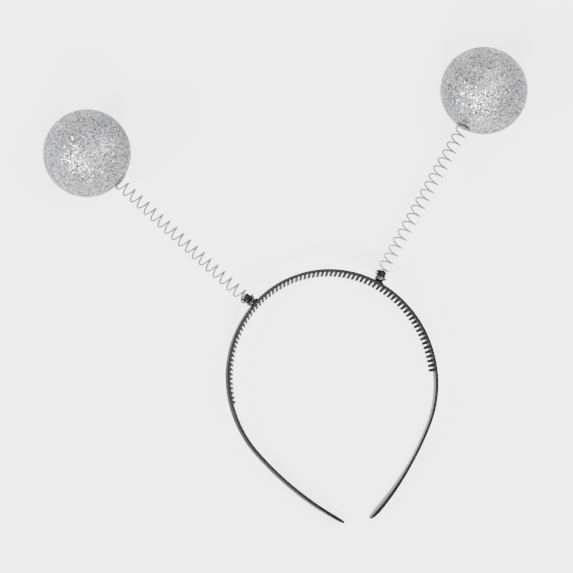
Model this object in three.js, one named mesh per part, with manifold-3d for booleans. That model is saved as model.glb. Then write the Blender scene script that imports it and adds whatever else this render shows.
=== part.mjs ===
// A head bopper: a narrow C-shaped hair band of black plastic with comb teeth inside, and two pegs that
// each hold a coil spring of steel wire with a glitter covered foam ball on its end.
// Millimetres, +Z up. The object lies on a flat surface, on the band's two tips and on both balls.
// +X points to the right as the front is seen, +Y from the band's open ends towards the balls.

import * as THREE from 'three';
import Module from 'manifold-3d';
import { mergeVertices } from 'three/addons/utils/BufferGeometryUtils.js';

// Band: one arc over the crown and past both cheeks, then a flatter arc down each leg, whose
// section swells and twists a little before the tip
const bandWidth = 5;
const bandThickness = 1.7;
const edgeChamfer = 0.3;
const crownRadius = 63;
const crownHalfAngle = 122.9;
const legRadius = 176;
const legLength = 64.9;
const swellLength = 40;
const swellShare = 1.25;
const swellTwist = 8;
const tipTaper = 7;
const tipShare = 0.35;

// Comb teeth: rooted along the front edge and raked towards the back edge
const toothCount = 75;
const toothPitch = 2.77;
const toothLength = 2.6;
const toothRootInset = 0.8;
const toothTipInset = 4.2;
const toothRootAlong = 2;
const toothRootDeep = 1.6;
const toothShoulderShare = 0.85;
const toothPointShare = 0.6;
const toothSink = 0.35;

// Pegs: a foot on the band, a thin neck and a round head, leaning anticlockwise from the arm
const postAngle = 37;
const postLean = 12;
const footLength = 6;
const footInset = 0.1;
const footHeight = 0.4;
const footTopShare = 0.9;
const footSink = 0.5;
const neckRadius = 1.9;
const headHeight = 3.5;
const headRounding = 0.7;

// Springs: tight turns round the neck, a flare under the head, then open turns up to the ball
const wireDiameter = 1;
const springDiameter = 7.8;
const neckTurns = 1.1;
const neckCoilGap = 0.15;
const flareTurns = 0.5;
const openPitch = 5.34;
const firstRightTurn = 8.3;
const bendHeight = 7.2;
const bendEase = 1.2;

// Balls, and where they stand as seen from the pegs' feet
const ballDiameter = 50;
const ballReach = 128.2;
const ballAngle = 40.2;
const socketDepth = 6.4;
const socketBevel = 0.8;

// Gap that is left between two pieces that touch
const clearance = 0.3;

// Facets
const crownFacets = 51;
const legFacets = 6;
const tipFacets = 4;
const footSides = 16;
const postSides = 14;
const wireSides = 5;
const wireStepsPerTurn = 12;
const ballSides = 24;
const ballRowAngle = 15;

// Sizes that follow from the ones above
const radians = THREE.MathUtils.degToRad;
const crownArc = crownRadius * radians(crownHalfAngle);
const halfLength = crownArc + legLength;
const wireRadius = wireDiameter / 2;
const ballRadius = ballDiameter / 2;
const openRadius = springDiameter / 2 - wireRadius;
const neckCoilRadius = neckRadius + clearance + wireRadius;
const headRadius = openRadius - wireRadius - clearance;
const neckCoilPitch = wireDiameter + neckCoilGap;
const neckLength = neckTurns * neckCoilPitch + wireDiameter + 2 * clearance;
const neckTop = footHeight + neckLength;
const coilStart = footHeight + clearance + wireRadius;
const flareHeight = neckTop - clearance - wireRadius;
const socketRadius = springDiameter / 2 + clearance;
const leanSwing = bendHeight * Math.sin(radians(postLean));
const armTurn = Math.asin(leanSwing / ballReach);
const armLength = ballReach * Math.cos(armTurn) + bendHeight * (1 - Math.cos(radians(postLean)));
const socketFloor = armLength - ballRadius + socketDepth;
const springEnd = socketFloor - clearance - wireRadius;

const wasm = await Module();
wasm.setup();

// Outer face of the band at a distance s from the crown, positive to the right
function outerLine(s) {
  const side = Math.sign(s) || 1;
  const run = Math.abs(s);
  const bend = radians(crownHalfAngle);
  const onLeg = run > crownArc;
  const radius = onLeg ? legRadius : crownRadius;
  const centre = onLeg ? crownRadius - legRadius : 0;
  const angle = onLeg ? bend + (run - crownArc) / legRadius : run / crownRadius;
  const x = centre * Math.sin(bend) + radius * Math.sin(angle);
  const y = centre * Math.cos(bend) + radius * Math.cos(angle);
  return {
    point: new THREE.Vector3(side * x, y, 0),
    outward: new THREE.Vector3(side * Math.sin(angle), Math.cos(angle), 0),
    forward: new THREE.Vector3(Math.cos(angle), -side * Math.sin(angle), 0),
  };
}

// Closed body through rings of points, each ring turning right-handed about the way it travels
function loft(rings) {
  const size = rings[0].length;
  const last = (rings.length - 1) * size;
  const indices = [];
  for (let start = 0; start < last; start += size) {
    for (let i = 0; i < size; i += 1) {
      const a = start + i;
      const b = start + (i + 1) % size;
      indices.push(a, b, a + size, b, b + size, a + size);
    }
  }
  for (let i = 1; i + 1 < size; i += 1) {
    indices.push(0, i + 1, i, last, last + i, last + i + 1);
  }
  const geometry = new THREE.BufferGeometry();
  geometry.setFromPoints(rings.flat());
  geometry.setIndex(indices);
  return geometry;
}

function toSolid(geometry) {
  const bare = geometry.clone();
  bare.deleteAttribute('normal');
  bare.deleteAttribute('uv');
  const merged = mergeVertices(bare);
  return new wasm.Manifold(new wasm.Mesh({
    numProp: 3,
    vertProperties: new Float32Array(merged.attributes.position.array),
    triVerts: new Uint32Array(merged.index.array),
  }));
}

function toGeometry(solid) {
  const { vertProperties, triVerts } = solid.getMesh();
  const geometry = new THREE.BufferGeometry();
  geometry.setAttribute('position', new THREE.BufferAttribute(vertProperties, 3));
  geometry.setIndex(new THREE.BufferAttribute(triVerts, 1));
  const faceted = geometry.toNonIndexed();
  faceted.computeVertexNormals();
  return faceted;
}

// Distances from the crown at which the band has a section, right half only
function bandStations() {
  const stations = [];
  const crownStep = 2 * crownArc / crownFacets;
  const legRun = legLength - tipTaper;
  for (let i = 0; i < (crownFacets - 1) / 2; i += 1) {
    stations.push((i + 0.5) * crownStep);
  }
  for (let i = 0; i <= legFacets; i += 1) {
    stations.push(crownArc + legRun * i / legFacets);
  }
  for (let i = 1; i <= tipFacets; i += 1) {
    const share = Math.sin(Math.PI / 2 * i / tipFacets);
    stations.push(halfLength - tipTaper * (1 - share));
  }
  return stations;
}

// Share of the full section that is left where the band rounds off to its tip
function tipFullness(s) {
  const share = Math.min(1, (halfLength - Math.abs(s)) / tipTaper);
  const rounding = Math.sqrt(1 - (1 - share) ** 2);
  return tipShare + (1 - tipShare) * rounding;
}

// How far the leg has swelled towards its tip, from 0 to 1
function swellAt(s) {
  const end = halfLength - tipTaper;
  return THREE.MathUtils.smoothstep(Math.abs(s), end - swellLength, end);
}

// Section round the middle of the strip, twisted so that its inner face turns towards the front
function bandRing(s) {
  const { point, outward } = outerLine(s);
  const swell = swellAt(s);
  const size = tipFullness(s) * THREE.MathUtils.lerp(1, swellShare, swell);
  const twist = radians(swellTwist) * swell;
  const deep = bandThickness * size / 2;
  const half = bandWidth * size / 2;
  const cut = edgeChamfer * size;
  const corners = [
    [-deep, cut - half], [-deep, half - cut], [cut - deep, half], [deep - cut, half],
    [deep, half - cut], [deep, cut - half], [deep - cut, -half], [cut - deep, -half],
  ];
  return corners.map(([inward, height]) => {
    const depth = bandThickness / 2 + inward * Math.cos(twist) - height * Math.sin(twist);
    const corner = point.clone().addScaledVector(outward, -depth);
    corner.z = inward * Math.sin(twist) + height * Math.cos(twist);
    return corner;
  });
}

function makeBand() {
  const right = bandStations();
  const left = right.map((s) => -s).reverse();
  return loft([...left, ...right].map(bandRing));
}

function toothRing(line, depth, share) {
  const along = toothRootAlong / 2 * share;
  const deep = toothRootDeep / 2 * share;
  const rake = Math.max(0, depth) / toothLength;
  const height = bandWidth / 2 - THREE.MathUtils.lerp(toothRootInset, toothTipInset, rake);
  const middle = line.point.clone().addScaledVector(line.outward, -bandThickness - depth);
  return [[-1, -1], [1, -1], [1, 1], [-1, 1]].map(([a, b]) => {
    const corner = middle.clone().addScaledVector(line.forward, a * along);
    corner.z = height + b * deep;
    return corner;
  });
}

function makeTooth(s) {
  const line = outerLine(s);
  return loft([
    toothRing(line, -toothSink, 1),
    toothRing(line, toothLength * toothShoulderShare, toothShoulderShare),
    toothRing(line, toothLength, toothPointShare),
  ]);
}

// Frame of an arm: +Z runs up its spring to the ball's centre, +X is to the right hand of that way.
// The peg leans to the left hand and meets the arm's axis at the bend.
function armPlacement(side) {
  const foot = outerLine(side * crownRadius * radians(postAngle)).point;
  const heading = side * radians(ballAngle) + armTurn;
  const along = new THREE.Vector3(Math.sin(heading), Math.cos(heading), 0);
  const right = new THREE.Vector3(along.y, -along.x, 0);
  const back = new THREE.Vector3(0, 0, -1);
  const origin = foot.clone().addScaledVector(right, -leanSwing);
  origin.addScaledVector(along, bendHeight * (Math.cos(radians(postLean)) - 1));
  return new THREE.Matrix4().makeBasis(right, back, along).setPosition(origin);
}

// Frame of the peg in the arm's frame
function postPlacement() {
  const lean = radians(postLean);
  const turn = new THREE.Matrix4().makeRotationY(-lean);
  return turn.setPosition(leanSwing, 0, bendHeight * (1 - Math.cos(lean)));
}

function turned(profile, sides) {
  const points = profile.map(([radius, height]) => new THREE.Vector2(radius, height));
  return new THREE.LatheGeometry(points, sides).rotateX(Math.PI / 2);
}

function footRing(placement, height, share) {
  const halfLong = footLength / 2 * share;
  const halfWide = (bandWidth / 2 - footInset) * share;
  return Array.from({ length: footSides }, (_, i) => {
    const angle = 2 * Math.PI * i / footSides;
    const corner = new THREE.Vector3(halfLong * Math.cos(angle), halfWide * Math.sin(angle), height);
    return corner.applyMatrix4(placement);
  });
}

// Wedge from an oval sunk square into the band to a smaller one that is square to the leaning peg
function makeFoot(side, peg) {
  const { point, outward, forward } = outerLine(side * crownRadius * radians(postAngle));
  const back = new THREE.Vector3(0, 0, -1);
  const seat = new THREE.Matrix4().makeBasis(forward, back, outward).setPosition(point);
  return loft([footRing(seat, -footSink, 1), footRing(peg, footHeight, footTopShare)]);
}

function makePost() {
  const headTop = neckTop + headHeight;
  return turned([
    [0, 0],
    [neckRadius, 0],
    [neckRadius, neckTop],
    [headRadius, neckTop],
    [headRadius, headTop - headRounding],
    [headRadius - headRounding, headTop],
    [0, headTop],
  ], postSides);
}

function makeHeadband() {
  let solid = toSolid(makeBand());
  for (let i = 0; i < toothCount; i += 1) {
    const s = (i - (toothCount - 1) / 2) * toothPitch;
    solid = solid.add(toSolid(makeTooth(s)));
  }
  for (const side of [-1, 1]) {
    const peg = armPlacement(side).multiply(postPlacement());
    for (const piece of [makeFoot(side, peg), makePost().applyMatrix4(peg)]) {
      solid = solid.add(toSolid(piece));
    }
  }
  return toGeometry(solid);
}

// Middle line of the wire. Turns are counted from the first time that the open coil stands at the
// arm's right hand. hand is 1 for a right-handed coil and -1 for a left-handed one. The coil leans
// with the peg and then eases over to the arm's axis.
class WireLine extends THREE.Curve {
  constructor(hand) {
    super();
    this.hand = hand;
    this.openStart = (flareHeight - firstRightTurn) / openPitch;
    this.flareStart = this.openStart - flareTurns;
    this.start = this.flareStart - neckTurns;
    this.end = (springEnd - firstRightTurn) / openPitch;
    this.turns = this.end - this.start;
    this.arcLengthDivisions = Math.ceil(4 * wireStepsPerTurn * this.turns);
  }

  getPoint(t, target = new THREE.Vector3()) {
    const turn = this.start + t * this.turns;
    const onNeck = Math.min(turn, this.flareStart) - this.start;
    const inOpen = Math.max(turn, this.openStart) - this.openStart;
    const flare = THREE.MathUtils.smoothstep(turn, this.flareStart, this.openStart);
    const radius = THREE.MathUtils.lerp(neckCoilRadius, openRadius, flare);
    const angle = 2 * Math.PI * turn;
    const height = coilStart + onNeck * neckCoilPitch + inOpen * openPitch;
    const share = THREE.MathUtils.clamp((bendHeight + bendEase - height) / (2 * bendEase), 0, 1);
    const toBend = share < 1 ? bendEase * share ** 2 : bendHeight - height;
    const lean = radians(postLean);
    const aside = radius * Math.cos(angle);
    return target.set(
      toBend * Math.sin(lean) + aside * Math.cos(lean * share),
      this.hand * radius * Math.sin(angle),
      height + toBend * (1 - Math.cos(lean)) + aside * Math.sin(lean * share),
    );
  }
}

function makeSpring(hand) {
  const section = new THREE.Shape();
  for (let i = 0; i < wireSides; i += 1) {
    const angle = 2 * Math.PI * i / wireSides;
    const corner = [wireRadius * Math.cos(angle), wireRadius * Math.sin(angle)];
    section[i === 0 ? 'moveTo' : 'lineTo'](...corner);
  }
  section.closePath();
  const line = new WireLine(hand);
  const steps = Math.ceil(line.turns * wireStepsPerTurn);
  return new THREE.ExtrudeGeometry(section, { steps, bevelEnabled: false, extrudePath: line });
}

// Ball round its own centre, with a blind socket towards the band
function makeBall() {
  const mouthRadius = socketRadius + socketBevel;
  const mouthAngle = Math.asin(mouthRadius / ballRadius);
  const floor = socketFloor - armLength;
  const rim = -Math.sqrt(ballRadius ** 2 - mouthRadius ** 2);
  const profile = [[0, floor], [socketRadius, floor], [socketRadius, rim + socketBevel]];
  const steps = Math.round(180 / ballRowAngle);
  const rows = Array.from({ length: steps }, (_, i) => radians(180) * (i + 1) / steps);
  for (const angle of [mouthAngle, ...rows.filter((row) => row > mouthAngle + radians(2))]) {
    profile.push([ballRadius * Math.sin(angle), -ballRadius * Math.cos(angle)]);
  }
  profile[profile.length - 1][0] = 0;
  return turned(profile, ballSides).translate(0, 0, armLength);
}

// Angle at which the band lies: a straight edge that touches the band's back near the tips and the balls
function restingTilt() {
  const heel = outerLine(halfLength - tipTaper).point.y;
  const foot = outerLine(crownRadius * radians(postAngle)).point.y;
  const run = foot + ballReach * Math.cos(radians(ballAngle)) - heel;
  const twist = radians(swellTwist);
  const below = swellShare * (bandWidth * Math.cos(twist) + bandThickness * Math.sin(twist)) / 2;
  return Math.asin(ballRadius / Math.hypot(run, below)) - Math.atan2(below, run);
}

const blackPlastic = new THREE.MeshStandardMaterial({ color: 0x131316, roughness: 0.25, metalness: 0 });
const steelWire = new THREE.MeshStandardMaterial({ color: 0xc4c6c9, roughness: 0.25, metalness: 1 });
const silverGlitter = new THREE.MeshStandardMaterial({ color: 0xb8b8bd, roughness: 0.35, metalness: 0.7 });

function named(name, geometry, material) {
  const mesh = new THREE.Mesh(geometry, material);
  mesh.name = name;
  return mesh;
}

function makeArm(name, side) {
  const arm = new THREE.Group();
  arm.applyMatrix4(armPlacement(side));
  arm.add(named(`${name}_spring`, makeSpring(side), steelWire));
  arm.add(named(`${name}_ball`, makeBall(), silverGlitter));
  return arm;
}

const lying = new THREE.Group();
lying.add(named('headband', makeHeadband(), blackPlastic));
lying.add(makeArm('left', -1));
lying.add(makeArm('right', 1));
lying.rotation.x = restingTilt();

// The origin is on the surface, under the middle of the whole
const headBopper = new THREE.Group();
headBopper.add(lying);
headBopper.updateMatrixWorld(true);
const box = new THREE.Box3().setFromObject(headBopper, true);
const middle = box.getCenter(new THREE.Vector3());
lying.position.set(-middle.x, -middle.y, -box.min.z);
headBopper.updateMatrixWorld(true);

export default headBopper;
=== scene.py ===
"""Looks for the head bopper: black comb-toothed band, steel springs and glitter covered balls.

Lengths are in millimetres in the band's own frame, and become metres in the row frame in to_row().
In the band's frame the crown's arc has its centre at the origin, +Y is up through the crown and
+Z is towards the band's front edge.
"""

import math

import bpy
import numpy as np
from mathutils import Matrix, Vector


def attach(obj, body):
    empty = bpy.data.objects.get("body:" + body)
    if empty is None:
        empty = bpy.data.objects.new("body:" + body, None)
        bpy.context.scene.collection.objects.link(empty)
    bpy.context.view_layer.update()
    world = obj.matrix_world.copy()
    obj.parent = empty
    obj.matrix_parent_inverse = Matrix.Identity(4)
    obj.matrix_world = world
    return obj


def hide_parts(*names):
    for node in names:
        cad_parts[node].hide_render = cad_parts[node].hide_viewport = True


# How the band's frame lies in the row frame
TILT = math.radians(5.5514)
ARC_CENTRE = np.array([-0.0244, -45.9416, 10.5627])

# Band
BAND_WIDTH = 5.0
BAND_THICKNESS = 1.7
EDGE_ROUND = 0.5
CROWN_RADIUS = 63.0
CROWN_HALF_ANGLE = math.radians(122.9)
LEG_RADIUS = 176.0
LEG_LENGTH = 64.9
SWELL_LENGTH = 40.0
SWELL_SHARE = 1.25
SWELL_TWIST = math.radians(8)
TIP_TAPER = 7.0
TIP_SHARE = 0.35

# Teeth
TOOTH_COUNT = 75
TOOTH_PITCH = 2.77
TOOTH_LENGTH = 2.6
TOOTH_ROOT_INSET = 0.8
TOOTH_TIP_INSET = 4.2
TOOTH_ROOT_ALONG = 2.0
TOOTH_ROOT_DEEP = 1.6
TOOTH_SINK = 0.35
TOOTH_SIDES = 12
# Depth under the band's inner face, and share of the root's section there
TOOTH_LEVELS = [
    (-TOOTH_SINK, 1.15),
    (0.05, 1.08),
    (0.25, 1.0),
    (0.8, 0.98),
    (1.3, 0.96),
    (TOOTH_LENGTH - 0.4, 0.92),
    (TOOTH_LENGTH - 0.2, 0.82),
    (TOOTH_LENGTH - 0.07, 0.6),
    (TOOTH_LENGTH, 0.2),
]

# Pegs
POST_ANGLE = math.radians(37)
POST_LEAN = math.radians(12)
FOOT_LENGTH = 6.0
FOOT_WIDTH = 4.8
FOOT_HEIGHT = 0.4
FOOT_SINK = 0.5
NECK_RADIUS = 1.9
NECK_FILLET = 0.25
HEAD_RADIUS = 2.6
HEAD_HEIGHT = 3.5
HEAD_ROUND = 0.75
HEAD_UNDER_ROUND = 0.3

# Springs
WIRE_RADIUS = 0.5
OPEN_RADIUS = 3.4
CLEARANCE = 0.3
NECK_TURNS = 1.1
NECK_PITCH = 1.15
FLARE_TURNS = 0.5
OPEN_PITCH = 5.34
FIRST_RIGHT_TURN = 8.3
BEND_HEIGHT = 7.2
BEND_EASE = 1.2

# Balls
BALL_RADIUS = 25.0
BALL_REACH = 128.2
BALL_ANGLE = math.radians(40.2)
SOCKET_DEPTH = 6.4
SHELL_RADIUS = 24.5
FLAKE_TOP = 24.84
FLAKE_COUNT = 34000
FLAKE_MOUTH = 4.3
FLAKE_SIDES = 6
FLAKE_SIZES = (0.3, 0.42)
FLAKE_SCATTER = 0.006
FLAKE_TILT = 0.19
GLUE_SKIN = BALL_RADIUS - 0.25
GLUE_THICKNESS = 0.65
GLUE_FLOOR = BALL_RADIUS - 1.2

# Stage, in metres and watts
BOUNCE_Z = -0.002
BOUNCES = [
    ("bounce_left", (-0.2, -0.3), (-0.02, -0.02), 1.6),
    ("bounce_right", (-0.02, -0.3), (0.2, -0.02), 4.2),
    ("bounce_crown_left", (-0.05, -0.02), (0, 0.06), 2.6),
    ("bounce_crown_right", (0, -0.02), (0.07, 0.013), 6.5),
    ("bounce_right_peg", (0, 0.013), (0.07, 0.06), 2.6),
    ("bounce_left_ball", (-0.4, -0.02), (-0.05, 0.3), 2.1),
    ("bounce_right_ball", (0.07, -0.02), (0.4, 0.3), 2.1),
]
LIGHTS = [
    ("key", (-1.7, -0.38, 0.98), (0, 0, 0), 0.4, 26),
    ("second", (-0.73, -1.31, 1.32), (0, 0, 0), 0.4, 26),
    ("top", (0.65, 0.61, 1.68), (0, 0, 0), 1.2, 8),
    ("near", (0.05, -0.02, 0.33), (-0.07, 0, 0.01), 0.14, 0.34),
]
PICTURE_PIXELS = 573
PICTURE_WIDTH = 0.3230
CAMERA_DISTANCE = 12.0
SENSOR_WIDTH = 36.0

# What follows from the lengths above
LEAN_SWING = BEND_HEIGHT * math.sin(POST_LEAN)
LEAN_RISE = BEND_HEIGHT * (1 - math.cos(POST_LEAN))
ARM_TURN = math.asin(LEAN_SWING / BALL_REACH)
ARM_LENGTH = BALL_REACH * math.cos(ARM_TURN) + LEAN_RISE
CROWN_ARC = CROWN_RADIUS * CROWN_HALF_ANGLE
HALF_LENGTH = CROWN_ARC + LEG_LENGTH
NECK_LENGTH = NECK_TURNS * NECK_PITCH + 2 * (WIRE_RADIUS + CLEARANCE)
NECK_TOP = FOOT_HEIGHT + NECK_LENGTH
COIL_START = FOOT_HEIGHT + CLEARANCE + WIRE_RADIUS
FLARE_HEIGHT = NECK_TOP - CLEARANCE - WIRE_RADIUS
NECK_COIL_RADIUS = NECK_RADIUS + CLEARANCE + WIRE_RADIUS
SPRING_END = ARM_LENGTH - BALL_RADIUS + SOCKET_DEPTH - CLEARANCE - WIRE_RADIUS


def eased(share):
    """A share of 0 to 1 that starts and ends gently."""
    return share * share * (3 - 2 * share)


def unit(vectors):
    """The rows of an array as unit vectors."""
    return vectors / np.linalg.norm(vectors, axis=1, keepdims=True)


def circle(count):
    """Angles of that many points round a circle."""
    return np.linspace(0, 2 * math.pi, count, endpoint=False)


def to_row(points):
    """Points of the band's frame, in metres and in the row frame."""
    x, y, z = np.asarray(points, float).reshape(-1, 3).T
    turned = np.stack(
        [
            x,
            y * math.cos(TILT) - z * math.sin(TILT),
            y * math.sin(TILT) + z * math.cos(TILT),
        ],
        axis=1,
    )
    return (turned + ARC_CENTRE) / 1000


def outer_line(s):
    """Point, outward and forward directions of the band's outer face at s mm from the crown."""
    s = np.atleast_1d(np.asarray(s, float))
    side = np.where(s < 0, -1.0, 1.0)
    run = np.abs(s)
    leg = run > CROWN_ARC
    radius = np.where(leg, LEG_RADIUS, CROWN_RADIUS)
    centre = np.where(leg, CROWN_RADIUS - LEG_RADIUS, 0.0)
    angle = np.where(
        leg, CROWN_HALF_ANGLE + (run - CROWN_ARC) / LEG_RADIUS, run / CROWN_RADIUS
    )
    x = centre * math.sin(CROWN_HALF_ANGLE) + radius * np.sin(angle)
    y = centre * math.cos(CROWN_HALF_ANGLE) + radius * np.cos(angle)
    zero = np.zeros_like(x)
    point = np.stack([side * x, y, zero], axis=1)
    outward = np.stack([side * np.sin(angle), np.cos(angle), zero], axis=1)
    forward = np.stack([np.cos(angle), -side * np.sin(angle), zero], axis=1)
    return point, outward, forward


def peg_seat(side):
    """Point, outward and forward directions of the band where the left or right peg stands."""
    return [v[0] for v in outer_line(side * CROWN_RADIUS * POST_ANGLE)]


def loft(rings):
    """Vertices and faces of a closed skin through rings of points."""
    rings = np.asarray(rings, float)
    count, size = rings.shape[:2]
    verts = rings.reshape(-1, 3)
    start = np.arange(count - 1)[:, None] * size
    i = np.arange(size)[None, :]
    j = (i + 1) % size
    faces = np.stack([start + i, start + j, start + j + size, start + i + size], axis=2)
    faces = [tuple(f) for f in faces.reshape(-1, 4).tolist()]
    faces.append(tuple(range(size - 1, -1, -1)))
    faces.append(tuple(range(len(verts) - size, len(verts))))
    return verts, faces


def joined(parts):
    """One list of vertices and faces out of several."""
    verts, faces, offset = [], [], 0
    for part_verts, part_faces in parts:
        verts.append(part_verts)
        faces.extend(tuple(v + offset for v in face) for face in part_faces)
        offset += len(part_verts)
    return np.concatenate(verts), faces


def make_object(name, parts, material, smooth=True):
    """One piece out of bodies given in the band's frame."""
    verts, faces = joined(parts)
    mesh = bpy.data.meshes.new(name)
    mesh.from_pydata(to_row(verts).tolist(), [], faces)
    mesh.polygons.foreach_set("use_smooth", [smooth] * len(mesh.polygons))
    mesh.materials.append(material)
    mesh.update()
    piece = bpy.data.objects.new(name, mesh)
    bpy.context.scene.collection.objects.link(piece)
    return piece


def rounded_rectangle(half_a, half_b, radius, steps=5):
    """Outline points of a rectangle with round corners."""
    points = []
    for a, b, start in ((1, 1, 0), (-1, 1, 90), (-1, -1, 180), (1, -1, 270)):
        for k in range(steps + 1):
            angle = math.radians(start + 90 * k / steps)
            points.append(
                (
                    a * (half_a - radius) + radius * math.cos(angle),
                    b * (half_b - radius) + radius * math.sin(angle),
                )
            )
    return np.array(points)


def band():
    """The C-shaped strip, with round edges and tips."""
    crown = np.linspace(-CROWN_ARC, CROWN_ARC, 181)
    leg = np.linspace(CROWN_ARC, HALF_LENGTH - TIP_TAPER, 40)[1:]
    tip = HALF_LENGTH - TIP_TAPER * (1 - np.sin(np.linspace(0, math.pi / 2, 15)[1:]))
    right = np.concatenate([leg, tip])
    stations = np.concatenate([-right[::-1], crown, right])
    point, outward, _ = outer_line(stations)
    share = np.minimum(1, (HALF_LENGTH - np.abs(stations)) / TIP_TAPER)
    fullness = TIP_SHARE + (1 - TIP_SHARE) * np.sqrt(
        np.maximum(0, 1 - (1 - share) ** 2)
    )
    end = HALF_LENGTH - TIP_TAPER
    swell = np.clip((np.abs(stations) - end + SWELL_LENGTH) / SWELL_LENGTH, 0, 1)
    swell = eased(swell)
    outline = rounded_rectangle(BAND_THICKNESS / 2, BAND_WIDTH / 2, EDGE_ROUND)
    rings = []
    for p, o, f, w in zip(point, outward, fullness, swell):
        size = f * (1 + (SWELL_SHARE - 1) * w)
        c, s = math.cos(SWELL_TWIST * w), math.sin(SWELL_TWIST * w)
        a, b = size * outline.T
        ring = np.outer(a * c + b * s - BAND_THICKNESS / 2, o) + p
        ring[:, 2] = b * c - a * s
        rings.append(ring)
    return loft(rings)


def tooth(s):
    """A slim pin that leans from the front edge towards the middle of the band, with a round tip."""
    point, outward, forward = (v[0] for v in outer_line(s))
    root = BAND_WIDTH / 2 - TOOTH_ROOT_INSET
    rings = []
    for depth, share in TOOTH_LEVELS:
        rake = max(0, depth) / TOOTH_LENGTH
        height = root - rake * (TOOTH_TIP_INSET - TOOTH_ROOT_INSET)
        middle = point - outward * (BAND_THICKNESS + depth) + np.array([0, 0, height])
        ring = []
        for k in range(TOOTH_SIDES):
            angle = 2 * math.pi * k / TOOTH_SIDES
            a, b = math.cos(angle), math.sin(angle)
            squarish = 1 / (abs(a) ** 3 + abs(b) ** 3) ** (1 / 3)
            along = TOOTH_ROOT_ALONG / 2 * share * a * squarish
            deep = TOOTH_ROOT_DEEP / 2 * share * b * squarish
            ring.append(middle + forward * along + np.array([0, 0, deep]))
        rings.append(ring)
    return loft(rings)


def arm_axes(side):
    """Origin, right hand, back and outward directions of the left or right arm."""
    heading = side * BALL_ANGLE + ARM_TURN
    along = np.array([math.sin(heading), math.cos(heading), 0])
    right = np.array([along[1], -along[0], 0])
    back = np.array([0, 0, -1.0])
    return peg_seat(side)[0] - right * LEAN_SWING - along * LEAN_RISE, right, back, along


def on_arm(points, side, leaning=False):
    """Points given as right, back and along the arm or its leaning peg, in the band's frame."""
    base, right, back, along = arm_axes(side)
    p = np.asarray(points, float)
    if leaning:
        base = base + right * LEAN_SWING + along * LEAN_RISE
        c, s = math.cos(POST_LEAN), math.sin(POST_LEAN)
        right, along = right * c + along * s, along * c - right * s
    return base + p[..., :1] * right + p[..., 1:2] * back + p[..., 2:3] * along


def turned(profile, sides, side, leaning=False):
    """Body of revolution round the arm or its leaning peg."""
    x, y = np.cos(circle(sides)), np.sin(circle(sides))
    rings = [
        np.stack([radius * x, radius * y, np.full(sides, height)], axis=1)
        for radius, height in profile
    ]
    return loft(on_arm(np.array(rings), side, leaning))


def arc(centre_r, centre_h, radius, start, end, steps):
    """Profile points along a quarter or other arc, angles in degrees from the radial direction."""
    return [
        (
            centre_r + radius * math.cos(math.radians(a)),
            centre_h + radius * math.sin(math.radians(a)),
        )
        for a in np.linspace(start, end, steps)
    ]


def foot(side):
    """Wedge between the band and the leaning peg, its upper edge rounded."""
    angles = circle(40)
    long, wide = FOOT_LENGTH / 2 * np.cos(angles), FOOT_WIDTH / 2 * np.sin(angles)
    point, outward, forward = peg_seat(side)
    back = np.array([0, 0, -1.0])
    rings = [point - FOOT_SINK * outward + long[:, None] * forward + wide[:, None] * back]
    for share, below in [(1.0, 0.25), (0.985, 0.13), (0.94, 0.03), (0.88, 0)]:
        level = np.full(len(angles), FOOT_HEIGHT - below)
        ring = np.stack([long * share, wide * share, level], axis=1)
        rings.append(on_arm(ring, side, leaning=True))
    return loft(rings)


def peg(side):
    """Foot, neck and head that the spring is hooked on."""
    neck = [(NECK_RADIUS + NECK_FILLET, 0.3), (NECK_RADIUS + NECK_FILLET, FOOT_HEIGHT)]
    neck += [(NECK_RADIUS + 0.06, FOOT_HEIGHT + 0.08), (NECK_RADIUS, FOOT_HEIGHT + 0.3)]
    neck += [(NECK_RADIUS, NECK_TOP + 0.3)]
    top = NECK_TOP + HEAD_HEIGHT
    under = HEAD_UNDER_ROUND
    head = [(0.4, NECK_TOP), (HEAD_RADIUS - under, NECK_TOP)]
    head += arc(HEAD_RADIUS - under, NECK_TOP + under, under, -90, 0, 5)[1:]
    head += arc(HEAD_RADIUS - HEAD_ROUND, top - HEAD_ROUND, HEAD_ROUND, 0, 90, 8)
    head += [(0.6, top + 0.04), (0.05, top + 0.05)]
    return [
        foot(side),
        turned(neck, 28, side, leaning=True),
        turned(head, 32, side, leaning=True),
    ]


def wire(side, sides=12, per_turn=40):
    """Round wire: tight turns on the neck, a flare under the head, then open turns to the ball."""
    open_start = (FLARE_HEIGHT - FIRST_RIGHT_TURN) / OPEN_PITCH
    flare_start = open_start - FLARE_TURNS
    start = flare_start - NECK_TURNS
    end = (SPRING_END - FIRST_RIGHT_TURN) / OPEN_PITCH
    turn = np.linspace(start, end, int((end - start) * per_turn))
    blend = eased(np.clip((turn - flare_start) / FLARE_TURNS, 0, 1))
    radius = NECK_COIL_RADIUS + (OPEN_RADIUS - NECK_COIL_RADIUS) * blend
    height = COIL_START + (np.minimum(turn, flare_start) - start) * NECK_PITCH
    height = height + (np.maximum(turn, open_start) - open_start) * OPEN_PITCH
    angle = 2 * math.pi * turn
    share = np.clip((BEND_HEIGHT + BEND_EASE - height) / (2 * BEND_EASE), 0, 1)
    to_bend = np.where(share < 1, BEND_EASE * share**2, BEND_HEIGHT - height)
    aside = radius * np.cos(angle)
    right = to_bend * math.sin(POST_LEAN) + aside * np.cos(POST_LEAN * share)
    back = side * radius * np.sin(angle)
    up = height + to_bend * (1 - math.cos(POST_LEAN)) + aside * np.sin(POST_LEAN * share)
    path = on_arm(np.stack([right, back, up], axis=1), side)
    along = unit(np.gradient(path, axis=0))
    across = unit(np.cross(along, arm_axes(side)[3]))
    third = np.cross(along, across)
    around = circle(sides)
    rings = (
        path[:, None]
        + WIRE_RADIUS * np.cos(around)[None, :, None] * across[:, None]
        + WIRE_RADIUS * np.sin(around)[None, :, None] * third[:, None]
    )
    return loft(rings)


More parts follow.
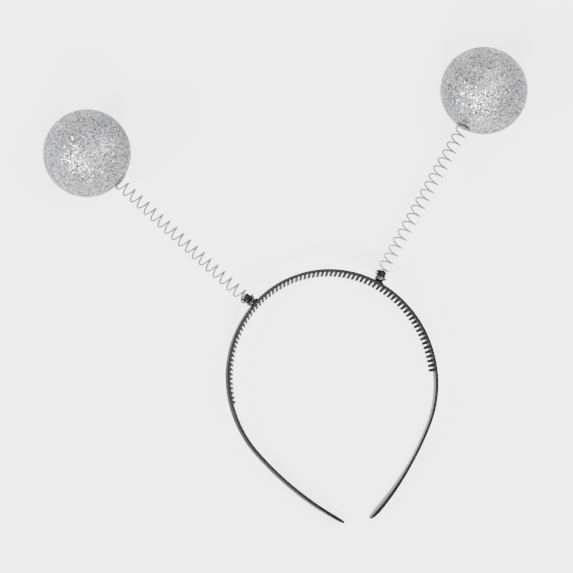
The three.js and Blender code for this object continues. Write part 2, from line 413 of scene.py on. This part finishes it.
def ball_shell(side):
    """The foam ball under the glitter, with its blind socket."""
    socket = OPEN_RADIUS + WIRE_RADIUS + CLEARANCE
    floor = -BALL_RADIUS + SOCKET_DEPTH
    mouth = math.degrees(math.asin((socket + 0.5) / SHELL_RADIUS))
    profile = [(0.02, floor), (socket, floor), (socket, -SHELL_RADIUS + 0.9)]
    profile += arc(0, 0, SHELL_RADIUS, mouth - 90, 89.8, 72)
    return turned([(r, h + ARM_LENGTH) for r, h in profile], 96, side)


def glitter(side, seed):
    """Thousands of thin six-sided flakes, laid like scales with a little random tilt."""
    rng = np.random.default_rng(seed)
    n = FLAKE_COUNT
    k = np.arange(n) + 0.5
    z = 1 - 2 * k / n
    phi = math.pi * (1 + 5**0.5) * k
    ring = np.sqrt(1 - z * z)
    normal = np.stack([ring * np.cos(phi), ring * np.sin(phi), z], axis=1)
    normal = unit(normal + rng.normal(0, FLAKE_SCATTER, (n, 3)))
    mouth = math.cos(math.asin(FLAKE_MOUTH / SHELL_RADIUS))
    normal = normal[normal[:, 2] > -mouth]
    n = len(normal)
    facing = unit(normal + rng.normal(0, FLAKE_TILT, (n, 3)))
    first = unit(np.cross(facing, rng.normal(0, 1, (n, 3))))
    second = np.cross(facing, first)
    size = rng.uniform(*FLAKE_SIZES, (n, 1))
    centre = normal * rng.uniform(SHELL_RADIUS + 0.08, FLAKE_TOP - 0.1, (n, 1))
    angles = 2 * math.pi * np.arange(FLAKE_SIDES) / FLAKE_SIDES
    corners = (
        centre[:, None]
        + (size * first)[:, None] * np.cos(angles)[None, :, None]
        + (size * second)[:, None] * np.sin(angles)[None, :, None]
    )
    reach = np.linalg.norm(corners, axis=2, keepdims=True)
    corners *= np.minimum(1, FLAKE_TOP / reach)
    corners[..., 2] += ARM_LENGTH
    verts = on_arm(corners, side).reshape(-1, 3)
    faces = np.arange(FLAKE_SIDES * n).reshape(n, FLAKE_SIDES).tolist()
    return verts, faces


def glue(side, front, reach, half):
    """A low dab of dried glue where the spring goes into the ball, as an oval patch of its skin.

    front is how far the dab's middle lies towards the band's front, reach and half are its half
    sizes to and fro and across, all three in degrees of the ball.
    """
    shares = np.concatenate([np.linspace(0.01, 0.8, 10), np.linspace(0.84, 1, 7)])
    levels = [(q, GLUE_SKIN + GLUE_THICKNESS * math.sqrt(1 - q * q)) for q in shares]
    levels += [(0.98, BALL_RADIUS - 0.8), (0.9, GLUE_FLOOR), (0.01, GLUE_FLOOR)]
    around = circle(56)
    ragged = 1 + 0.05 * np.sin(3 * around + side) + 0.03 * np.sin(7 * around)
    rings = []
    for share, radius in levels:
        across = np.radians(half * share * ragged * np.cos(around))
        forward = np.radians(front + reach * share * ragged * np.sin(around))
        skin = [
            np.sin(across),
            -np.sin(forward) * np.cos(across),
            -np.cos(forward) * np.cos(across),
        ]
        ring = radius * np.stack(skin, axis=1)
        ring[:, 2] += ARM_LENGTH
        rings.append(on_arm(ring, side))
    return loft(rings)


def grey(value):
    return (value, value, value)


def node_material(name):
    """A material with its nodes, links and shader, and the piece's coordinates."""
    material = bpy.data.materials.new(name)
    material.use_nodes = True
    nodes = material.node_tree.nodes
    shader = nodes["Principled BSDF"]
    coords = nodes.new("ShaderNodeTexCoord")
    return material, nodes, material.node_tree.links, shader, coords


def noise(nodes, links, coords, scale, detail=4.0, roughness=0.5):
    texture = nodes.new("ShaderNodeTexNoise")
    texture.inputs["Scale"].default_value = scale
    texture.inputs["Detail"].default_value = detail
    texture.inputs["Roughness"].default_value = roughness
    links.new(coords.outputs["Object"], texture.inputs["Vector"])
    return texture


def ramp(nodes, links, value, stops):
    node = nodes.new("ShaderNodeValToRGB")
    while len(node.color_ramp.elements) < len(stops):
        node.color_ramp.elements.new(0.5)
    for element, (position, colour) in zip(node.color_ramp.elements, stops):
        element.position = position
        element.color = (*colour, 1)
    links.new(value, node.inputs["Fac"])
    return node


def multiplied(nodes, links, one, other):
    mix = nodes.new("ShaderNodeMix")
    mix.data_type = "RGBA"
    mix.blend_type = "MULTIPLY"
    mix.inputs["Factor"].default_value = 1.0
    links.new(one, mix.inputs["A"])
    links.new(other, mix.inputs["B"])
    return mix


def bump(nodes, links, height, shader, strength, distance):
    node = nodes.new("ShaderNodeBump")
    node.inputs["Strength"].default_value = strength
    node.inputs["Distance"].default_value = distance
    links.new(height, node.inputs["Height"])
    links.new(node.outputs["Normal"], shader.inputs["Normal"])


def black_plastic():
    """Moulded gloss black with a faint flow grain and handling marks in the gloss."""
    material, nodes, links, shader, coords = node_material("black_plastic")
    marks = noise(nodes, links, coords, 220, 6, 0.6)
    black, lifted = (0.002, 0.002, 0.0025), (0.007, 0.007, 0.008)
    tone = ramp(nodes, links, marks.outputs["Fac"], [(0.3, black), (0.8, lifted)])
    links.new(tone.outputs["Color"], shader.inputs["Base Color"])
    gloss = ramp(nodes, links, marks.outputs["Fac"], [(0.35, grey(0.24)), (0.75, grey(0.36))])
    links.new(gloss.outputs["Color"], shader.inputs["Roughness"])
    grain = noise(nodes, links, coords, 900, 3)
    bump(nodes, links, grain.outputs["Fac"], shader, 0.12, 0.00004)
    shader.inputs["IOR"].default_value = 1.5
    shader.inputs["Specular IOR Level"].default_value = 0.25
    return material


def steel_wire(side):
    """Drawn wire with fine draw marks and duller stretches, with painted shade on the neck and round
    the peg's head.
    """
    material, nodes, links, shader, coords = node_material("steel_wire")
    dull = noise(nodes, links, coords, 160, 5)
    tone = ramp(nodes, links, dull.outputs["Fac"], [(0.3, grey(0.19)), (0.75, (0.34, 0.34, 0.33))])
    reach = nodes.new("ShaderNodeVectorMath")
    reach.operation = "DISTANCE"
    reach.inputs[1].default_value = to_row(peg_seat(side)[0])[0]
    links.new(coords.outputs["Object"], reach.inputs[0])
    # The distance from the peg's seat in centimetres, to fall within the ramp's 0 to 1
    centimetres = nodes.new("ShaderNodeMath")
    centimetres.operation = "MULTIPLY"
    centimetres.inputs[1].default_value = 100
    links.new(reach.outputs["Value"], centimetres.inputs[0])
    # Painted shade: the wire is darkened on the neck and darkest round the black head, standing in
    # for the shade and dark reflections of the peg there
    painted_shade_stops = [(0.44, grey(0.6)), (0.52, grey(0.14)), (0.6, grey(0.14)), (0.78, grey(1.0))]
    painted_shade = ramp(nodes, links, centimetres.outputs["Value"], painted_shade_stops)
    mix = multiplied(nodes, links, tone.outputs["Color"], painted_shade.outputs["Color"])
    links.new(mix.outputs["Result"], shader.inputs["Base Color"])
    gloss = ramp(nodes, links, dull.outputs["Fac"], [(0.3, grey(0.2)), (0.7, grey(0.36))])
    links.new(gloss.outputs["Color"], shader.inputs["Roughness"])
    marks = noise(nodes, links, coords, 2500, 2)
    bump(nodes, links, marks.outputs["Fac"], shader, 0.15, 0.00002)
    shader.inputs["Metallic"].default_value = 1.0
    return material


def silver_glitter(name, dark, light, roughness):
    """Metallised film, every flake its own grey, with faint lilac and cool patches."""
    material, nodes, links, shader, coords = node_material(name)
    cells = nodes.new("ShaderNodeTexVoronoi")
    cells.inputs["Scale"].default_value = 1750
    links.new(coords.outputs["Object"], cells.inputs["Vector"])
    split = nodes.new("ShaderNodeSeparateColor")
    links.new(cells.outputs["Color"], split.inputs["Color"])
    tone = ramp(nodes, links, split.outputs["Red"], [(0.0, dark), (0.85, light)])
    patches = noise(nodes, links, coords, 55, 3)
    tint = ramp(
        nodes, links, patches.outputs["Fac"],
        [(0.33, (0.9, 0.9, 1.0)), (0.52, (1.0, 1.0, 1.0)), (0.72, (1.0, 0.96, 0.97))],
    )
    mix = multiplied(nodes, links, tone.outputs["Color"], tint.outputs["Color"])
    links.new(mix.outputs["Result"], shader.inputs["Base Color"])
    glosses = [(0.0, grey(roughness)), (1.0, grey(roughness + 0.2))]
    gloss = ramp(nodes, links, split.outputs["Green"], glosses)
    links.new(gloss.outputs["Color"], shader.inputs["Roughness"])
    shader.inputs["Metallic"].default_value = 0.9
    return material


def dried_glue():
    """Olive brown glue, darker and lighter in cloudy patches."""
    material, nodes, links, shader, coords = node_material("dried_glue")
    cloud = noise(nodes, links, coords, 420, 5, 0.6)
    tone = ramp(
        nodes, links, cloud.outputs["Fac"],
        [(0.3, (0.035, 0.036, 0.02)), (0.55, (0.12, 0.12, 0.075)), (0.8, (0.3, 0.3, 0.22))],
    )
    links.new(tone.outputs["Color"], shader.inputs["Base Color"])
    bump(nodes, links, cloud.outputs["Fac"], shader, 0.5, 0.0003)
    shader.inputs["Roughness"].default_value = 0.28
    return material


def pale_floor():
    """A matt white that glows, as the lit ground of a product photograph does."""
    material, nodes, links, shader, coords = node_material("pale_floor")
    cloud = noise(nodes, links, coords, 3, 2)
    tone = ramp(nodes, links, cloud.outputs["Fac"], [(0.3, grey(0.93)), (0.7, grey(0.95))])
    links.new(tone.outputs["Color"], shader.inputs["Base Color"])
    shader.inputs["Roughness"].default_value = 0.9
    shader.inputs["Specular IOR Level"].default_value = 0.1
    shader.inputs["Emission Color"].default_value = (1, 1, 1, 1)
    shader.inputs["Emission Strength"].default_value = 2.6
    return material


def make_sheet(name, low, high, z, material):
    """A level rectangle that lights no surface by diffuse light, as part of the stage."""
    mesh = bpy.data.meshes.new(name)
    (x0, y0), (x1, y1) = low, high
    corners = [(x0, y0, z), (x1, y0, z), (x1, y1, z), (x0, y1, z)]
    mesh.from_pydata(corners, [], [(0, 1, 2, 3)])
    mesh.materials.append(material)
    sheet = bpy.data.objects.new(name, mesh)
    bpy.context.scene.collection.objects.link(sheet)
    sheet.visible_diffuse = False
    return sheet


def make_floor():
    floor = make_sheet("floor", (-6.0, -6.0), (6.0, 6.0), 0, pale_floor())
    floor.visible_glossy = False


def make_bounce(name, low, high, strength):
    """A glowing sheet just under the floor: what gloss sees there in place of the floor."""
    material = bpy.data.materials.new(name)
    material.use_nodes = True
    nodes = material.node_tree.nodes
    nodes.clear()
    glow = nodes.new("ShaderNodeEmission")
    glow.inputs["Strength"].default_value = strength
    output = nodes.new("ShaderNodeOutputMaterial")
    material.node_tree.links.new(glow.outputs["Emission"], output.inputs["Surface"])
    make_sheet(name, low, high, BOUNCE_Z, material)


def make_camera():
    """Long lens from the front and a little to the left, at the photograph's angle and roll."""
    right = Vector((0.9279, -0.2061, 0.3108))
    up = Vector((0.1492, 0.9690, 0.1970))
    towards = Vector((-0.3417, -0.1364, 0.9298))
    # A point inside the band's crown, and how far it is from the middle of the picture
    target = Vector(to_row([[0.0, -7.7, 2.5]])[0])
    target_px = Vector((335.77, 392.60)) - Vector((286.0, 286.0))
    px = PICTURE_PIXELS / PICTURE_WIDTH
    centre = target - right * (target_px.x / px) + up * (target_px.y / px)
    data = bpy.data.cameras.new("camera")
    data.sensor_width = SENSOR_WIDTH
    data.lens = SENSOR_WIDTH * CAMERA_DISTANCE / PICTURE_WIDTH
    data.clip_start = 0.1
    data.clip_end = 100.0
    camera = bpy.data.objects.new("camera", data)
    rotation = Matrix((right, up, towards)).transposed().to_4x4()
    camera.matrix_world = Matrix.Translation(centre + towards * CAMERA_DISTANCE) @ rotation
    bpy.context.scene.collection.objects.link(camera)
    bpy.context.scene.camera = camera


def area_light(name, place, aim, size, power):
    data = bpy.data.lights.new(name, "AREA")
    data.shape = "RECTANGLE"
    data.size, data.size_y = size, size
    data.energy = power
    light = bpy.data.objects.new(name, data)
    light.location = place
    light.rotation_euler = (Vector(aim) - Vector(place)).to_track_quat("-Z", "Y").to_euler()
    bpy.context.scene.collection.objects.link(light)


def make_light():
    """A white surround and four soft lights."""
    world = bpy.data.worlds.new("studio")
    world.use_nodes = True
    world.node_tree.nodes["Background"].inputs["Color"].default_value = (1, 1, 1, 1)
    world.node_tree.nodes["Background"].inputs["Strength"].default_value = 1.15
    bpy.context.scene.world = world
    for light in LIGHTS:
        area_light(*light)


def place(piece, slot, *nodes):
    """Tell the frame what a piece rides on, and hide the model's solids that it stands for. The slot
    is not used.
    """
    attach(piece, "root")
    if nodes:
        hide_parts(*nodes)


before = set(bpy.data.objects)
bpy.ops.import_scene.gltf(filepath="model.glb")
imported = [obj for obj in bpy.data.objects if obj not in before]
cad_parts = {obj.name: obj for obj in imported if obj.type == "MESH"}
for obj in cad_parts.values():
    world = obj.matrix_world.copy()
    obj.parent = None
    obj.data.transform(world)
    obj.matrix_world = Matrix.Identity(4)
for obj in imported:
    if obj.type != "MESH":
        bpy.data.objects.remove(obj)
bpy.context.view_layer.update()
make_camera()
make_floor()
for bounce in BOUNCES:
    make_bounce(*bounce)
make_light()

plastic = black_plastic()
film = silver_glitter("glitter_flakes", (0.04, 0.04, 0.044), grey(1.0), 0.1)
backing = silver_glitter("glitter_backing", (0.10, 0.10, 0.11), (0.42, 0.42, 0.44), 0.4)
glue_material = dried_glue()

teeth = [tooth((i - (TOOTH_COUNT - 1) / 2) * TOOTH_PITCH) for i in range(TOOTH_COUNT)]
headband = make_object("headband_black", [band(), *teeth, *peg(-1), *peg(1)], plastic)
place(headband, "band_plastic", "headband")
for name, side, seed, dab in (("left", -1, 11, (12, 18, 11)), ("right", 1, 23, (-3, 11, 11))):
    spring = make_object(f"{name}_spring_wire", [wire(side)], steel_wire(side))
    place(spring, "spring_wire", f"{name}_spring")
    foam = make_object(f"{name}_ball_foam", [ball_shell(side)], backing)
    place(foam, "silver_glitter", f"{name}_ball")
    flakes = make_object(f"{name}_glitter", [glitter(side, seed)], film, smooth=False)
    place(flakes, "silver_glitter")
    dab_of_glue = make_object(f"{name}_glue", [glue(side, *dab)], glue_material)
    place(dab_of_glue, "silver_glitter")
